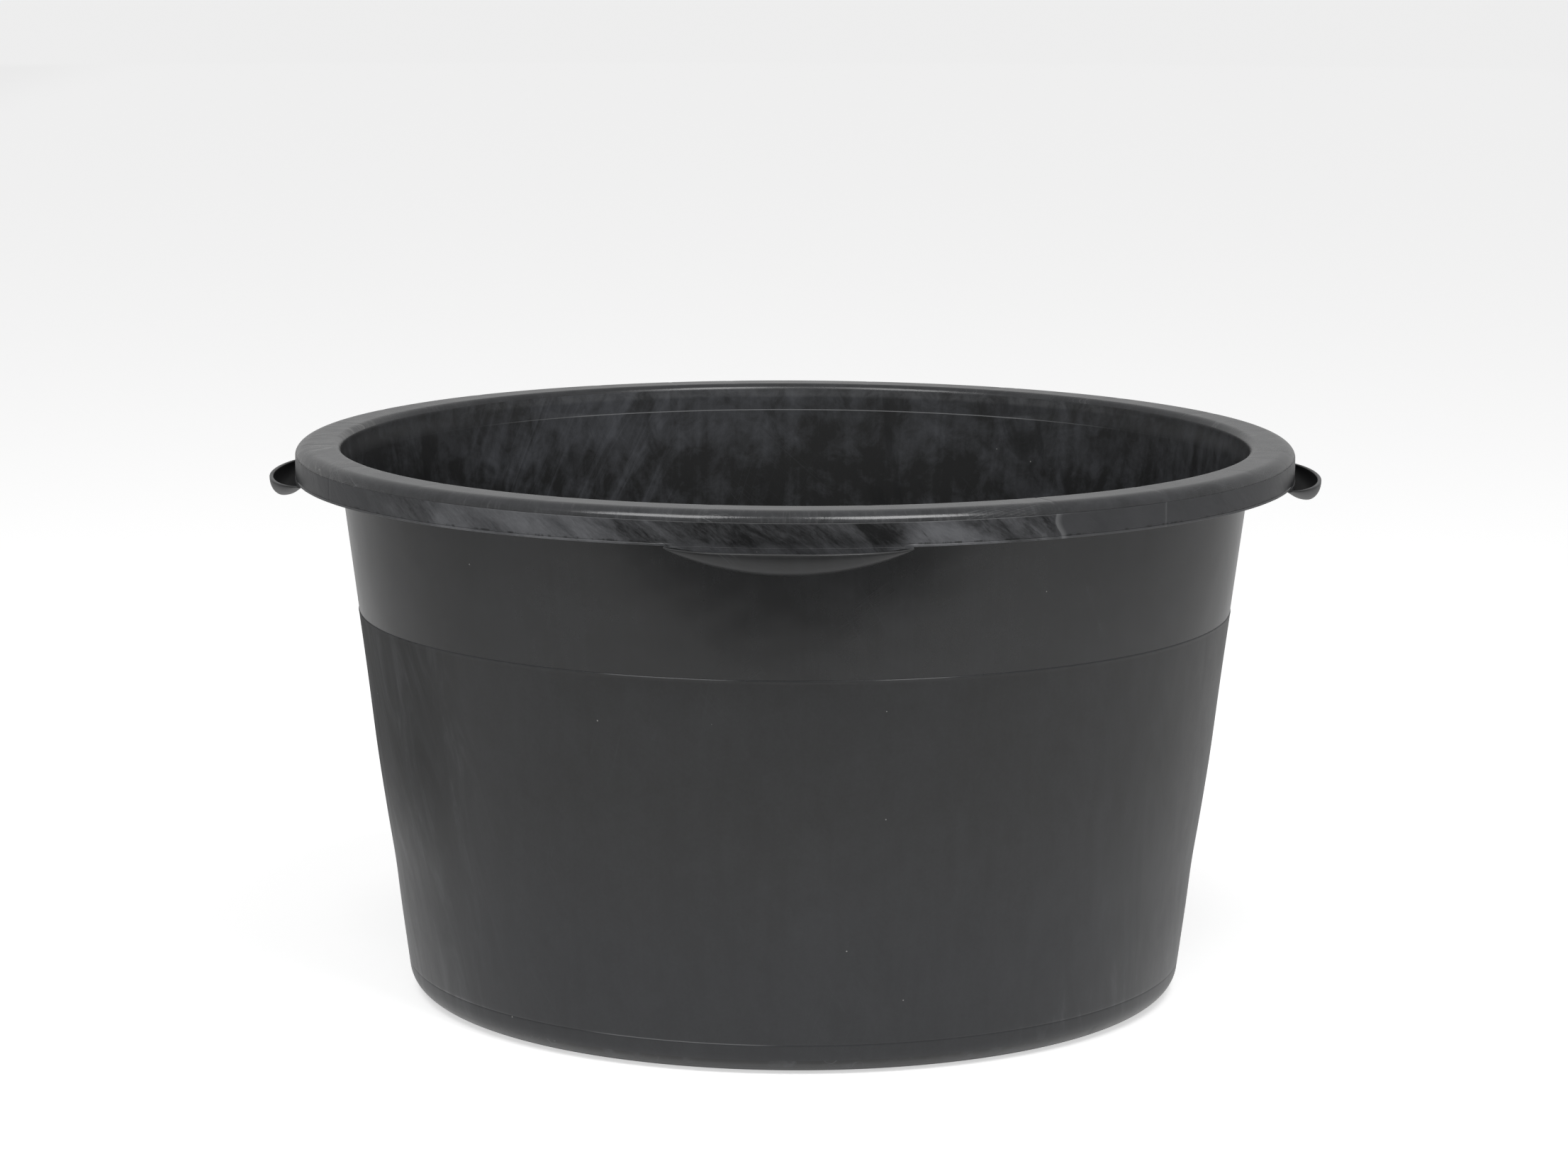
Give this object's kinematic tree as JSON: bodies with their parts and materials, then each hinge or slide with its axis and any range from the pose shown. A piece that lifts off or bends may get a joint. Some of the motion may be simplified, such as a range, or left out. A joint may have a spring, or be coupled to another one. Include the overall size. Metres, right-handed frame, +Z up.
{
  "type": "mortar mixing tub",
  "caption": "Round open tub for mixing mortar, with a leaning wall, a flat rim with a short skirt, and open cup-shaped ears on the rim.",
  "frame": {"origin": "centre of the base, on the plane that the tub stands on", "axes": "+Z up along the tub's own axis; -Y is the front, where one of the four ears is; +X is to the right seen from the front"},
  "size_m": [0.7384, 0.7384, 0.388],
  "materials": {
    "tub_plastic": "satin recycled polyethylene, charcoal black"
  },
  "bodies": {
    "root": {"floor_plate": "tub_plastic", "base_band": "tub_plastic", "lower_wall": "tub_plastic", "upper_wall": "tub_plastic", "rim_flange": "tub_plastic", "rim_skirt": "tub_plastic", "rim_ribs": "tub_plastic", "front_ear": "tub_plastic", "right_ear": "tub_plastic", "rear_ear": "tub_plastic", "left_ear": "tub_plastic"}
  },
  "joints": []
}
